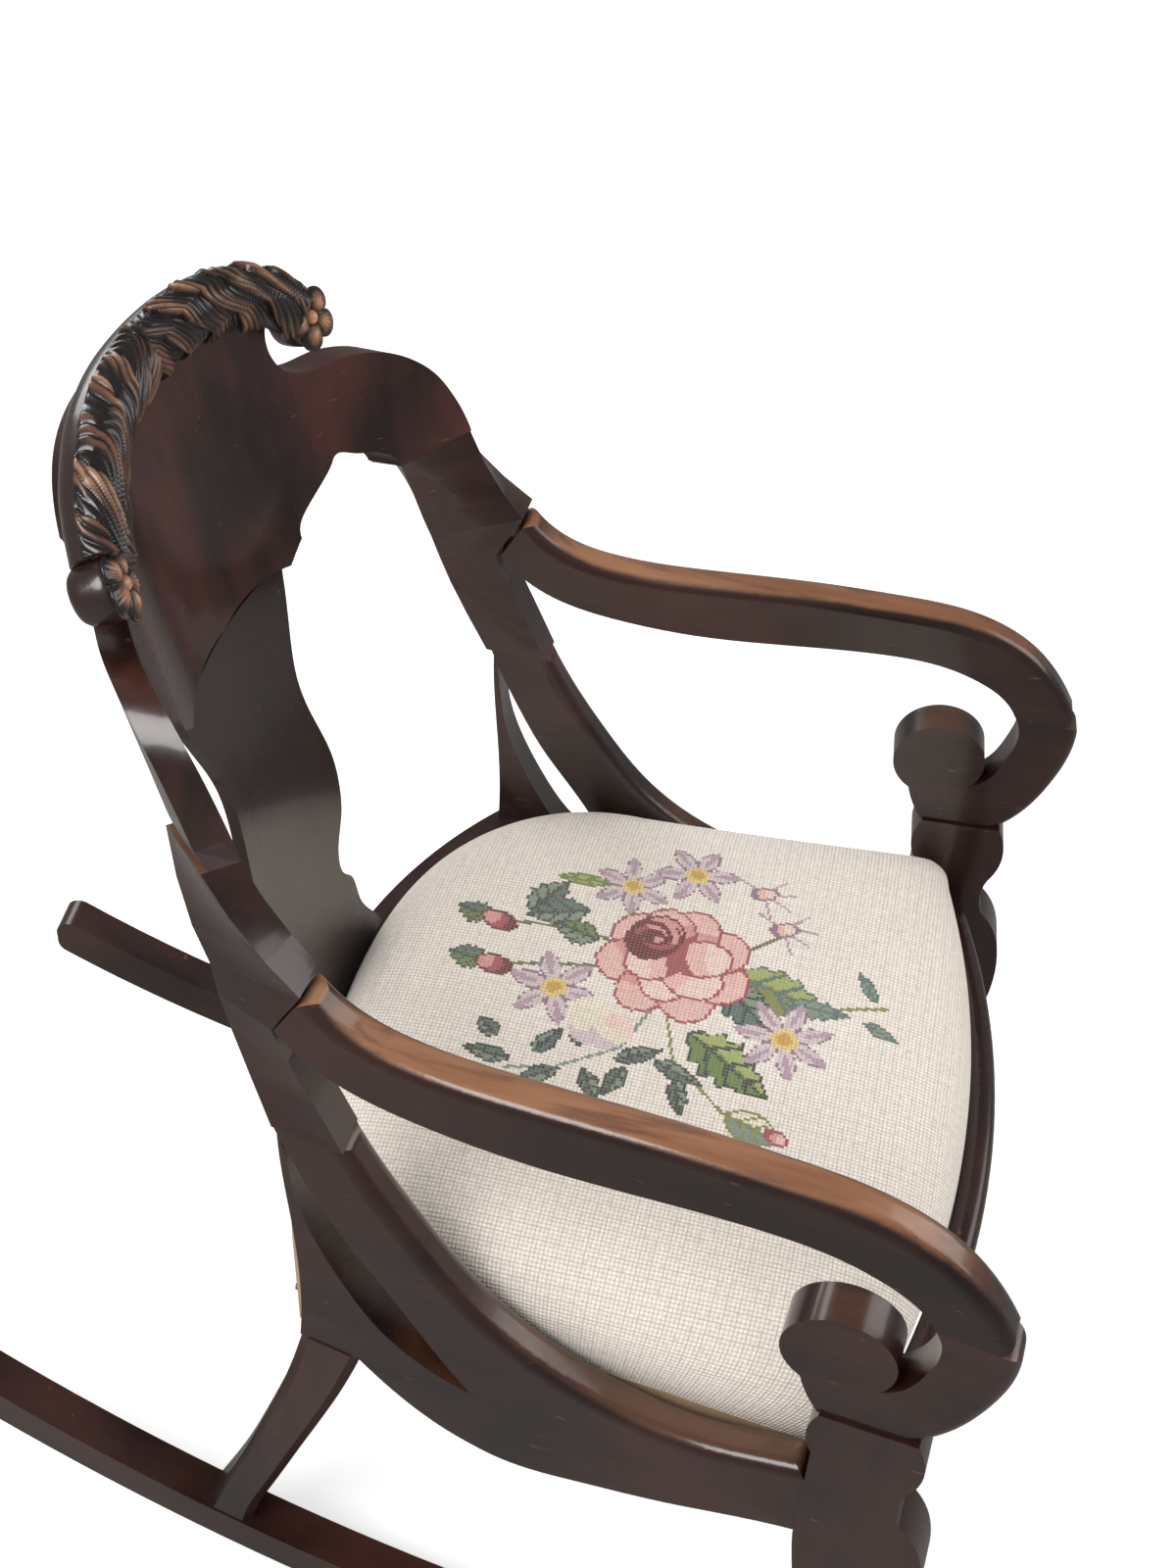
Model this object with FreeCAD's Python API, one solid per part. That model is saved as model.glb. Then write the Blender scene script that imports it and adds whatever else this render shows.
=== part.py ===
import FreeCAD, Part

import math
import os

# Scroll arm rocking chair with a carved, hooped back and a drop-in needlework seat.
# Lengths are millimetres. +X is the way the sitter faces, +Y the sitter's left, +Z up.
# The finished chair's origin lies on the floor, below the middle of its outline.

# Boards and stance
side_y = 300.0                 # outer face of a side frame, at the centre of its arm scroll
splay_slope = 0.09             # the side frames close towards the back by this much
arm_board = 29.0               # thickness of arms, scrolls, stiles and lower rails
post_board = 34.0              # thickness of the front posts
leg_board = 31.0               # thickness of the rear legs
runner_board = 33.0            # width of a runner
runner_depth = 39.0            # height of a runner's section
runner_radius = 1149.0         # the curve that the chair rocks on
contact_x = 156.0              # where the runners touch the floor at rest
runner_back_x = -435.0
runner_front_x = 451.0
runner_tip_radius = 14.0
arm_edge_radius = 9.0          # polished rounding along the arms and stiles
leg_edge_bevel = 7.0

# Arm scroll
scroll_x = 352.0
scroll_z = 560.0
scroll_disc_radius = 37.0
post_top_z = 496.0
post_top_back_x = 350.0
post_top_front_x = 415.0

# Back
back_low = (-66.0, 436.0)      # front face of the back on the centre line: (x, z) low down,
back_mid = (-143.0, 766.0)     # at the foot of the crest
back_top = (-199.0, 965.0)     # and at its top
hoop_half_width = 242.0        # half width of the hooped crest, where it meets the side frames,
hoop_depth = 118.0             # its depth in plan there
hoop_power = 2.4               # and how late it turns forward
crest_board = 20.0             # thickness of the crest
splat_board = 9.0
splat_hollow_radius = 1000.0
roll_radius = 21.0
boss_radius = 21.0             # the roll ends in round bosses that carry the rosettes
boss_length = 22.0
rosette_petals = 5
rosette_radius = 20.0
petal_radius = 9.5
rosette_depth = 8.0
rosette_gap = 0.15             # a film of glue under the rosette
button_radius = 5.5

# Seat rails and seat
rail_top_z = 424.0             # top of the rear seat rail, where the splat stands
front_rail_top_z = 418.0
rail_foot_z = 352.0
front_rail_x = 452.0           # outer face of the bowed front rail, on the centre line
front_rail_end = (413.0, 240.0)
rear_rail_x = -86.0            # outer face of the bowed rear rail, on the centre line
rear_rail_end = (-5.0, 250.0)
rail_board = 22.0
block_foot_z = 346.0
block_leg = 62.0
seat_corner = 20.0             # how far the seat's front corners are rounded back
seat_turn_x = 118.0            # behind this the seat's sides curve in
seat_shoulder = (14.0, 190.0)
seat_gap = 1.6                 # all round, between the drop-in seat and its frame
seat_rest_gap = 0.3            # between the seat's underside and the corner blocks
seat_foot_z = 373.5
seat_rail_height = 26.0
seat_rail_width = 44.0
cover_cloth = 1.5
cover_hem = 20.0
dust_cloth = 0.8
web_thickness = 1.2
web_width = 50.0
hessian_thickness = 1.0
crown_z = 488.0                # top of the needlework cover

# Fixings
dowel_radius = 5.0
dowel_length = 44.0
tack_head_radius = 3.0
tack_head_height = 0.9
tack_shank_radius = 0.8
tack_shank_length = 9.0
tack_inset = 12.0
screw_radius = 2.2
screw_head_radius = 4.4
screw_length = 34.0

outline_middle_x = 12.0        # the sketches' origin lies this far behind the outline's middle
box_size = 900.0               # larger than any piece that a box cuts

V = FreeCAD.Vector
splay_angle = math.degrees(math.atan(splay_slope))


# Sketching in the plane of a side frame, and on the front of the back

def spline(points):
    curve = Part.BSplineCurve()
    curve.interpolate([V(*p) for p in points])
    return curve.toShape()


def line(a, b):
    return Part.LineSegment(V(*a), V(*b)).toShape()


def arc(a, b, c):
    return Part.Arc(V(*a), V(*b), V(*c)).toShape()


def flat(points, plane):
    """Two-number points laid in the XZ plane (side), the YZ plane (front) or the XY plane (plan)."""
    if plane == "side":
        return [(x, 0.0, z) for x, z in points]
    if plane == "front":
        return [(0.0, y, z) for y, z in points]
    return [(x, y, 0.0) for x, y in points]


def outline(pieces, plane="side"):
    """A closed wire from point lists: two points make a line, three an arc, more a smooth curve."""
    edges = []
    for points in pieces:
        points = flat(points, plane)
        maker = {2: line, 3: arc}.get(len(points))
        edges.append(maker(*points) if maker else spline(points))
    return Part.Wire(edges)


def place_side(shape):
    """Turns a piece drawn square to the chair into the splayed plane of the left side frame."""
    shape.rotate(V(scroll_x, side_y, 0), V(0, 0, 1), splay_angle)
    return shape


def side_board(wire, thickness):
    """Left side piece from its outline, centred on the thickness of the arm."""
    middle = side_y - arm_board / 2
    face = Part.Face(wire)
    face.translate(V(0, middle - thickness / 2, 0))
    return face.extrude(V(0, thickness, 0))


def mirrored(shape):
    return shape.mirror(V(0, 0, 0), V(0, 1, 0))


def round_along(solid, runs, radius, plane="side"):
    """Rounds both edges that the named runs of an outline leave on a board."""
    guides = [outline([run], plane) for run in runs]
    edges = []
    for edge in solid.Edges:
        middle = edge.valueAt((edge.FirstParameter + edge.LastParameter) / 2)
        probe = Part.Vertex(V(middle.x, 0, middle.z))
        if edge.Length > 2 * radius and min(g.distToShape(probe)[0] for g in guides) < 0.05:
            edges.append(edge)
    return solid.makeFillet(radius, edges)


def rod(start, end, radius):
    start, end = V(*start), V(*end)
    return Part.makeCylinder(radius, (end - start).Length, start, end - start)


# Side frame

seam_low = (402.0, 618.0)                 # glue seam across the front of the arm
seam_high = (454.0, 612.0)
arm_root_high = (2.0, 741.0)              # joint of arm and stile
arm_root_low = (-18.0, 704.0)
lens_tip = (118.0, 376.0)                 # front end of the gap over the lower rail
lower_rail_toe = (122.0, 309.0)
leg_top_back = (-11.0, 379.0)
leg_top_front = (34.0, 371.0)
post_foot_back_x = 364.0


def post_back(z):
    """The straight back edge of a front post, which the side rail butts against."""
    lean = (post_foot_back_x - post_top_back_x) / post_top_z
    return (post_top_back_x + lean * (post_top_z - z), z)


arm_top = [arm_root_high, (34, 714), (82, 703), (138, 702), (228, 705), (296, 704), (350, 699),
           (404, 676), (440, 637), seam_high]
arm_under = [seam_low, (387, 636), (364, 649), (339, 657), (292, 661), (232, 658), (140, 653),
             (83, 657), (27, 670), arm_root_low]
rail_end_top = post_back(419)
rail_end_foot = post_back(345)
neck_foot_front = (27.0, 604.0)           # the twisted neck ends here, at the flat sweep
neck_foot_back = (-22.0, 609.0)
stile_front = [neck_foot_front, (49, 564), (77, 522), (106, 484),
               (136, 455), (169, 433), (204, 417), (242, 407), (280, 405), (317, 411), rail_end_top]
stile_foot = [rail_end_foot, (314, 336), (265, 322), (201, 309), (156, 303), lower_rail_toe]
stile_back = [lens_tip, (82, 426), (56, 466), (25, 511), (6, 546), (-11, 582), neck_foot_back]
lower_rail_tip = (-20.0, 607.0)
lower_rail_top = [lower_rail_tip, (-14, 575), (-8, 535), (9, 487), (28, 450), (52, 415),
                  (80, 392), lens_tip]
lower_rail_foot = [lower_rail_toe, (87, 325), (58, 347), leg_top_front]
lower_rail_back = [leg_top_back, (-9, 431), (-12, 500), (-18, 565), lower_rail_tip]


def make_arm():
    arm = side_board(outline([arm_top, [seam_high, seam_low], arm_under,
                              [arm_root_low, arm_root_high]]), arm_board)
    return round_along(arm, [arm_top], arm_edge_radius)


def side_face(x, z, outwards=0.0):
    """A point on the inner face of the left side frame, or some way outwards from it."""
    return V(x, side_y - arm_board + splay_slope * (x - scroll_x) + outwards, z)


crest_joint_front = V(-42.0, 239.0, 812.0)   # inner edge of the joint of stile and crest
crest_joint_back = V(-82.0, 195.0, 799.0)
crest_joint_out = V(-0.74, 0.67, 0)          # square to the hoop there
crest_joint_board = 24.0


def neck_section(front, back, out):
    """Four corners of the twisted neck: its inner edge from front to back, then its outer edge."""
    return Part.makePolygon([front, back, back + out, front + out, front])


def make_neck():
    """The stile's upper part, which twists from the side frame into the hoop of the crest.

    The sections run from the crest down. Its back edge leans in towards the chair's middle,
    less and less, and the arm's root stands against its front edge."""
    across = V(0, arm_board, 0)
    sections = [
        neck_section(crest_joint_front, crest_joint_back, crest_joint_out * crest_joint_board),
        neck_section(V(-29.0, 238.5, 785.0), V(-76.0, 204.0, 772.0), V(-14.0, 20.0, 0)),
        neck_section(V(-13.0, 238.5, 760.0), V(-70.0, 211.0, 746.0), V(-7.0, 25.5, 0)),
        neck_section(side_face(*arm_root_high), side_face(-64.0, 726.0, -18.0), across),
        neck_section(side_face(*arm_root_low), side_face(-58.0, 704.0, -14.0), across),
        neck_section(side_face(-8.0, 679.0), side_face(-50.0, 680.0, -11.0), across),
        neck_section(side_face(9.0, 643.0), side_face(-37.0, 646.0, -6.0), across),
        neck_section(side_face(*neck_foot_front), side_face(*neck_foot_back), across)]
    return Part.makeLoft(sections, True, True)


def make_stile():
    """Back stile and side seat rail, sawn in one sweep and rounded along its front edge."""
    sweep = side_board(outline([stile_front, [rail_end_top, rail_end_foot], stile_foot,
                                [lower_rail_toe, lens_tip], stile_back,
                                [neck_foot_back, neck_foot_front]]), arm_board)
    sweep = round_along(sweep, [stile_front], arm_edge_radius)
    return biggest(place_side(sweep).fuse(make_neck()).removeSplitter())


def make_lower_rail():
    return side_board(outline([lower_rail_top, [lens_tip, lower_rail_toe], lower_rail_foot,
                               [leg_top_front, leg_top_back], lower_rail_back]), arm_board)


def make_scroll():
    """The arm's volute: an outer band that turns under into a round disc."""
    def on_disc(degrees):
        a = math.radians(degrees)
        return (scroll_x + scroll_disc_radius * math.cos(a),
                scroll_z + scroll_disc_radius * math.sin(a))
    nook, disc_foot = on_disc(-36), on_disc(238)
    top_front = (post_top_front_x, post_top_z)
    top_back = (post_top_back_x - 2, post_top_z)
    outer = [seam_high, (455, 590), (447, 552), (433, 519), top_front]
    inner = [nook, (396, 551), (405, 574), (409, 598), seam_low]
    neck = [disc_foot, (337, 516), top_back]
    scroll = side_board(outline([outer, [top_front, top_back], neck[::-1],
                                 [disc_foot, on_disc(101), nook], inner,
                                 [seam_low, seam_high]]), arm_board)
    return round_along(scroll, [outer], arm_edge_radius)


def make_post():
    """Front post and leg in one, with half-round swellings on its edges."""
    foot_z = 40.0
    back_foot = post_back(foot_z)
    collar = post_back(452)
    front = [(post_top_front_x, post_top_z), (423, 474), (417, 438)]
    waist = [front[-1], (414, 420), (419, 398)]
    bulb = [waist[-1], (432, 382), (444, 346), (446, 300), (436, 236), (422, 180), (414, 130),
            (417, 84), (428, foot_z)]
    back_bead = [collar, (345, 473), (post_top_back_x, post_top_z)]
    back_leg = [back_foot, (376, 90), (380, 150), (374, 220), (362, 290), post_back(345)]
    return side_board(outline([front, waist, bulb, [bulb[-1], back_foot], back_leg,
                               [post_back(345), collar], back_bead,
                               [back_bead[-1], front[0]]]), post_board)


def make_rear_leg():
    back = [leg_top_back, (-29, 300), (-52, 222), (-79, 139), (-102, 80), (-122, 30)]
    front = [(-62, 20), (-66, 60), (-49, 122), (-17, 213), (11, 293), leg_top_front]
    leg = side_board(outline([back, [back[-1], front[0]], front, [leg_top_front, leg_top_back]]),
                     leg_board)
    outer_y = side_y - arm_board / 2 + leg_board / 2
    edges = [e for e in leg.Edges if e.Length > 200 and abs(e.BoundBox.YMax - outer_y) < 0.1]
    return leg.makeChamfer(leg_edge_bevel, edges)


def runner_floor(x, radius=runner_radius):
    """Height of an arc about the rocking centre, at a place along the chair."""
    return runner_radius - math.sqrt(radius ** 2 - (x - contact_x) ** 2)


def make_runner():
    inner_radius = runner_radius - runner_depth
    foot = [(x, runner_floor(x)) for x in (runner_front_x, contact_x, runner_back_x)]
    top = [(x, runner_floor(x, inner_radius)) for x in (runner_back_x, contact_x, runner_front_x)]
    runner = side_board(outline([foot, [foot[-1], top[0]], top, [top[-1], foot[0]]]), runner_board)
    ends = [e for e in runner.Edges if abs(e.Length - runner_board) < 0.01]
    return runner.makeFillet(runner_tip_radius, ends)


# Hooped back

def back_face_x(z):
    """Front face of the back on the centre line: the parabola through its three set points."""
    total = 0.0
    points = (back_low, back_mid, back_top)
    for i, (x, height) in enumerate(points):
        others = [h for j, (_, h) in enumerate(points) if j != i]
        total += x * (z - others[0]) * (z - others[1]) / ((height - others[0]) * (height - others[1]))
    return total


def hoop_x(y, z):
    """Front face of the hooped crest, which turns forward towards its ends."""
    return back_face_x(z) + hoop_depth * (abs(y) / hoop_half_width) ** hoop_power


def hoop_section(z):
    """Plan of the crest at one height: its front face, and its back face a board behind it."""
    reach = hoop_half_width + crest_board
    steps = 10
    spots = [reach * i / steps for i in range(-steps, steps + 1)]
    front = [(hoop_x(y, z), y, z) for y in spots]
    back = []
    for x, y, _ in front:
        slope = hoop_depth * hoop_power / hoop_half_width * (abs(y) / hoop_half_width) ** (hoop_power - 1)
        length = math.hypot(1, slope)
        back.append((x - crest_board / length, y + math.copysign(slope, y) * crest_board / length, z))
    return Part.Wire([spline(front), line(front[-1], back[-1]), spline(back[::-1]),
                      line(back[0], front[0])])


crest_foot = [(0, 776), (60, 775), (93, 768)]
crest_step = [(93, 768), (110, 781)]
crest_ogee = [(110, 781), (112, 790), (122, 799), (137, 809), (151, 821)]
crest_wing_foot = [(151, 821), (157, 826), (168, 821), (184, 815), (191, 809), (195, 799)]
crest_joint_cut = [(195, 799), (218, 770), (290, 770)]
crest_shoulder = [(290, 812), (239, 812)]
crest_wing_top = [(239, 812), (237, 830), (233, 848), (227, 864), (219, 875), (208, 884),
                  (195, 889), (178, 891), (160, 890), (149, 892), (139, 897)]
crest_notch = [(139, 897), (132, 913), (141, 939)]
crest_crown = [(141, 939), (118, 950), (70, 962), (0, 965)]


def make_crest(roll, stiles):
    heights = (740, 790, 845, 900, 985)
    slab = Part.makeLoft([hoop_section(z) for z in heights], True)
    left = [crest_foot, crest_step, crest_ogee, crest_wing_foot, crest_joint_cut[:2],
            crest_joint_cut[1:], [crest_joint_cut[-1], crest_shoulder[0]], crest_shoulder,
            crest_wing_top, crest_notch, crest_crown]
    right = [[(-y, z) for y, z in run[::-1]] for run in left[::-1]]
    front = Part.Face(outline(left + right, "front")).extrude(V(600, 0, 0))
    front.translate(V(-400, 0, 0))
    crest = slab.common(front)
    below = Part.makeBox(box_size, box_size, box_size, V(-box_size / 2, 0, -box_size))
    along = (crest_joint_front - crest_joint_back).normalize()
    up = V(crest_joint_out).cross(along)
    up = up if up.z > 0 else -up
    turn = FreeCAD.Placement(crest_joint_back, FreeCAD.Rotation(V(0, 0, 1), up))
    below.translate(V(0, -box_size / 2, 0))
    below.Placement = turn.multiply(below.Placement)
    side_zone = Part.makeBox(box_size, box_size, box_size, V(-box_size / 2, 150, 0))
    cutter = below.common(side_zone)
    crest = crest.cut(cutter).cut(mirrored(cutter))
    return biggest(crest.cut(roll).cut(Part.Compound(stiles)))


rosette_back = (-139.0, 160.0, 929.0)
rosette_axis = V(0.86, -0.29, 0.41)
roll_half = [(-199.0, 0.0, 979.0), (-198.0, 21.0, 979.5), (-195.0, 43.0, 980.0),
             (-190.0, 66.0, 979.0), (-185.0, 89.0, 976.0), (-178.0, 111.0, 970.0),
             (-170.0, 130.0, 962.0), (-160.0, 146.0, 951.0), (-151.0, 157.0, 939.0)]


def make_roll():
    """The rolled top rail with the round bosses at its ends."""
    points = [(x, -y, z) for x, y, z in roll_half[:0:-1]] + roll_half
    path = Part.Wire([spline(points)])
    edge = path.Edges[0]
    start, tangent = edge.valueAt(edge.FirstParameter), edge.tangentAt(edge.FirstParameter)
    ring = Part.Wire([Part.Circle(start, tangent, roll_radius).toShape()])
    roll = path.makePipeShell([ring], True, False)
    axis = V(rosette_axis).normalize()
    rosette_place = Part.makeCylinder(2 * boss_radius, boss_length, V(*rosette_back), axis)
    roll = roll.cut([rosette_place, mirrored(rosette_place)])
    boss = Part.makeCylinder(boss_radius, boss_length, V(*rosette_back) - axis * boss_length, axis)
    return roll.fuse([boss, mirrored(boss)]).removeSplitter()


def make_rosette():
    """Five lobed petals round a hollow, with a round button in the middle."""
    axis = V(rosette_axis).normalize()
    base = V(*rosette_back) + axis * rosette_gap
    across = axis.cross(V(0, 0, 1)).normalize()
    upward = across.cross(axis)
    flower = Part.makeCylinder(rosette_radius * 0.62, rosette_depth, base, axis)
    for i in range(rosette_petals):
        a = 2 * math.pi * i / rosette_petals + math.pi / 2
        reach = rosette_radius - petal_radius
        centre = base + across * (reach * math.cos(a)) + upward * (reach * math.sin(a))
        flower = flower.fuse(Part.makeCylinder(petal_radius, rosette_depth, centre, axis))
    flower = flower.removeSplitter()
    hollow = Part.makeSphere(rosette_radius * 0.72, base + axis * (rosette_depth + rosette_radius * 0.42))
    button_foot = base + axis * (rosette_depth * 0.3)
    button = Part.makeCylinder(button_radius, rosette_depth * 0.7, button_foot, axis)
    button = button.fuse(Part.makeSphere(button_radius, base + axis * rosette_depth)).removeSplitter()
    return Part.Compound([flower.cut(hollow).cut(button).Solids[0], button])


splat_edge = [(93, 768), (88, 752), (79, 728), (67, 688), (70, 653), (80, 606), (77, 575),
              (69, 557), (51, 537), (48, 516), (58, 503), (61, 478), (80, 440), (84, rail_top_z)]


def make_splat():
    """Vase-shaped back splat, bent to the rake of the back and slightly hollow across."""
    def band(z):
        x = back_face_x(z)
        half = splat_edge[0][0] + 20
        bow = splat_hollow_radius - math.sqrt(splat_hollow_radius ** 2 - half ** 2)
        front = arc((x + bow, -half, z), (x, 0, z), (x + bow, half, z))
        back = arc((x + bow - splat_board, half, z), (x - splat_board, 0, z),
                   (x + bow - splat_board, -half, z))
        return Part.Wire([front, line((x + bow, half, z), (x + bow - splat_board, half, z)), back,
                          line((x + bow - splat_board, -half, z), (x + bow, -half, z))])
    sheet = Part.makeLoft([band(z) for z in (rail_top_z - 20, 520, 640, 720, 800)], True)
    top = [(-93, 768), (0, 776), (93, 768)]
    left = [splat_edge[:2], splat_edge[1:]]
    right = [[(-y, z) for y, z in run[::-1]] for run in left[::-1]]
    foot = [[splat_edge[-1], (-splat_edge[-1][0], splat_edge[-1][1])]]
    vase = Part.Face(outline([top] + left + foot + right, "front")).extrude(V(600, 0, 0))
    vase.translate(V(-400, 0, 0))
    return sheet.common(vase)


# Seat rails

def bow(middle_x, end):
    """Centre, radius and sense of the plan arc through a rail's middle and its end."""
    side = 1 if middle_x > 0 else -1
    drop = abs(middle_x - end[0])
    radius = (end[1] ** 2 + drop ** 2) / (2 * drop)
    return middle_x - side * radius, radius, side


def bow_x(curve, y, inwards=0.0):
    """Where a bowed rail's face lies at a distance from the centre line."""
    centre_x, radius, side = curve
    return centre_x + side * math.sqrt((radius - inwards) ** 2 - y ** 2)


front_bow = bow(front_rail_x, front_rail_end)
rear_bow = bow(rear_rail_x, rear_rail_end)


def bowed_band(curve, low_z, high_z, reach):
    """A rail bowed in plan, one board thick."""
    outer = [(bow_x(curve, y), y) for y in (-reach, 0, reach)]
    inner = [(bow_x(curve, y, rail_board), y) for y in (reach, 0, -reach)]
    wire = outline([outer, [outer[-1], inner[0]], inner, [inner[-1], outer[0]]], "plan")
    wire.translate(V(0, 0, low_z))
    return Part.Face(wire).extrude(V(0, 0, high_z - low_z))


def make_front_rail(posts):
    rail = bowed_band(front_bow, rail_foot_z, front_rail_top_z, side_y - post_board / 3)
    lip = [e for e in rail.Edges if e.BoundBox.ZMin > front_rail_top_z - 1 and e.Length > 200]
    seat_opening = seat_slab(-seat_gap / 2, rail_foot_z - 1, crown_z)
    return biggest(rail.makeFillet(rail_board * 0.45, lip).cut(posts).cut(seat_opening))


def make_rear_rail(neighbours):
    rail = bowed_band(rear_bow, rail_foot_z, rail_top_z, rear_rail_end[1] + 6)
    return biggest(rail.cut(neighbours))


def biggest(shape):
    return max(shape.Solids, key=lambda s: s.Volume)


def seat_side(x, inset):
    """Half width of the seat at a place along the chair, inside the posts and side rails."""
    post_face = side_y - (post_board + arm_board) / 2
    return post_face + splay_slope * (x - scroll_x) - seat_gap - inset


def seat_outline(inset, z):
    """Plan of the seat opening, drawn in by an inset: bowed front, straight sides, round back."""
    gap = rail_board + seat_gap + inset
    corner_y = seat_side(front_rail_end[0], inset) - seat_corner
    front_x = bow_x(front_bow, corner_y, gap)
    side_x = front_x - seat_corner * 0.8
    corner = [(front_x, corner_y), (front_x - 3.0, seat_side(front_x, inset) - seat_corner * 0.33),
              (side_x, seat_side(side_x, inset))]
    turn = (seat_turn_x, seat_side(seat_turn_x, inset))
    shoulder = (seat_shoulder[0] + inset * 0.6, seat_shoulder[1] - inset * 0.8)
    back = (bow_x(rear_bow, 0, gap), 0)
    half = [[corner[0], corner[1], corner[2]], [corner[2], turn], [turn, shoulder, back]]
    other = [[(x, -y) for x, y in run[::-1]] for run in half[::-1]]
    front = [(front_x, -corner_y), (bow_x(front_bow, 0, gap), 0), corner[0]]
    wire = outline([front] + half + other, "plan")
    wire.translate(V(0, 0, z))
    return wire


def seat_slab(inset, low_z, high_z):
    return Part.Face(seat_outline(inset, low_z)).extrude(V(0, 0, high_z - low_z))


def crowned(extra, low_z):
    """The crowned seat, thicker than its stuffing by an extra: steep sides that draw in to a dome."""
    top = crown_z - cover_cloth + extra
    levels = [(3.5, low_z), (3.0, low_z + 22), (4.5, low_z + 36), (13.0, top - 24),
              (42.0, top - 9), (88.0, top)]
    return Part.makeLoft([seat_outline(inset - extra, z) for inset, z in levels], True)


# Build the left side, the back and the rails

left = {
    "arm": make_arm(), "stile": make_stile(), "lower_rail": make_lower_rail(),
    "arm_scroll": make_scroll(), "runner": make_runner(), "rear_leg": make_rear_leg(),
    "front_post": make_post(),
}
for foot_piece in ("rear_leg", "front_post"):
    left[foot_piece] = biggest(left[foot_piece].cut(left["runner"]))
left = {name: shape if name == "stile" else place_side(shape) for name, shape in left.items()}
left["lower_rail"] = biggest(left["lower_rail"].cut(left["stile"]))
right = {name: mirrored(shape) for name, shape in left.items()}

roll = make_roll()
nodes = {}
for name, shape in left.items():
    nodes["left_" + name] = shape
    nodes["right_" + name] = right[name]
rosette = make_rosette()
nodes["left_rosette"] = rosette
nodes["right_rosette"] = mirrored(rosette)
nodes["crest_roll"] = roll
nodes["crest_rail"] = make_crest(roll, [left["stile"], right["stile"]])
nodes["back_splat"] = make_splat().cut(nodes["crest_rail"])
posts = Part.Compound([left["front_post"], right["front_post"]])
nodes["front_seat_rail"] = make_front_rail(posts)
rear_neighbours = Part.Compound([d[n] for d in (left, right)
                                 for n in ("lower_rail", "rear_leg", "stile")])
nodes["rear_seat_rail"] = make_rear_rail(rear_neighbours)

# Corner blocks, glued and screwed inside the seat frame

block_top_z = seat_foot_z - dust_cloth - tack_head_height - seat_rest_gap


def make_corner_block(corner, toes, rails):
    """A triangular block: its long face inwards, its short faces against the two rails."""
    wire = Part.makePolygon([V(*corner, block_foot_z), V(*toes[0], block_foot_z),
                             V(*toes[1], block_foot_z), V(*corner, block_foot_z)])
    prism = Part.Face(wire).extrude(V(0, 0, block_top_z - block_foot_z))
    for rail in rails:
        prism = biggest(prism.cut(nodes[rail]))
    return prism


front_corner = (front_rail_end[0] - 8, side_y - 26)
rear_corner = (-22.0, 236.0)
front_block = make_corner_block(front_corner, [(front_corner[0] - block_leg - 16, front_corner[1] - 6),
                                               (front_corner[0] + 14, front_corner[1] - block_leg)],
                                ["left_front_post", "left_stile", "front_seat_rail"])
rear_block = make_corner_block(rear_corner, [(rear_corner[0] + block_leg + 24, rear_corner[1] + 14),
                                             (rear_corner[0] - 28, rear_corner[1] - block_leg)],
                               ["left_lower_rail", "left_rear_leg", "left_stile", "rear_seat_rail"])
blocks = [front_block, mirrored(front_block), rear_block, mirrored(rear_block)]


def make_screw(start, direction):
    """A countersunk wood screw, drawn as its head and its body."""
    start, direction = V(*start), V(*direction).normalize()
    head = Part.makeCone(screw_head_radius, screw_radius, screw_head_radius, start, direction)
    body = Part.makeCylinder(screw_radius, screw_length, start, direction)
    return head.fuse(body).removeSplitter()


screw_z = (block_foot_z + block_top_z) / 2
front_mid = front_block.CenterOfMass
rear_mid = rear_block.CenterOfMass
screws = [make_screw((front_mid.x - 9, front_mid.y - 8, screw_z), (0.25, 1, 0)),
          make_screw((front_mid.x - 3, front_mid.y - 12, screw_z), (1, 0.15, 0)),
          make_screw((rear_mid.x + 12, rear_mid.y - 8, screw_z), (0.1, 1, 0)),
          make_screw((rear_mid.x - 2, rear_mid.y - 10, screw_z), (-1, 0.2, 0))]
screws += [mirrored(s) for s in screws]

# Dowels across the glued joints

def joint_dowel(point, direction):
    """A dowel in the left side frame, half in each of the two pieces that meet at a point."""
    x, z = point
    dx, dz = direction
    length = math.hypot(dx, dz)
    half = dowel_length / 2
    y = side_y - arm_board / 2
    start = (x - dx / length * half, y, z - dz / length * half)
    end = (x + dx / length * half, y, z + dz / length * half)
    return place_side(rod(start, end, dowel_radius))


def between(a, b, share):
    return (a[0] + (b[0] - a[0]) * share, a[1] + (b[1] - a[1]) * share)


joint_normal = V(crest_joint_out).cross(crest_joint_front - crest_joint_back).normalize()
crest_dowels = []
for share in (0.3, 0.7):
    middle = crest_joint_back + (crest_joint_front - crest_joint_back) * share
    middle += crest_joint_out * (crest_board / 2)
    half = joint_normal * (dowel_length * 0.35)
    crest_dowels.append(Part.makeCylinder(dowel_radius, 2 * half.Length, middle - half, half))
dowel_sets = {
    "crest_dowels": crest_dowels,
    "arm_dowels": [joint_dowel(between(arm_root_low, arm_root_high, 0.4), (1, -0.45)),
                   joint_dowel(between(seam_low, seam_high, 0.5), (0.1, 1))],
    "post_dowels": [joint_dowel((post_top_back_x + 32, post_top_z), (0, 1)),
                    joint_dowel(post_back(395), (1, 0.1)), joint_dowel(post_back(368), (1, 0.1))],
    "runner_dowels": [joint_dowel((-86, runner_floor(-86) + runner_depth + 2), (0.25, 1)),
                      joint_dowel((400, runner_floor(400) + runner_depth), (-0.1, 1))],
    "lower_rail_dowels": [joint_dowel((120, 342), (1, -0.1)), joint_dowel((24, 373), (0.2, 1))],
}
rail_mid_z = (rail_foot_z + rail_top_z) / 2 - 4
rail_dowels = []
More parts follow.
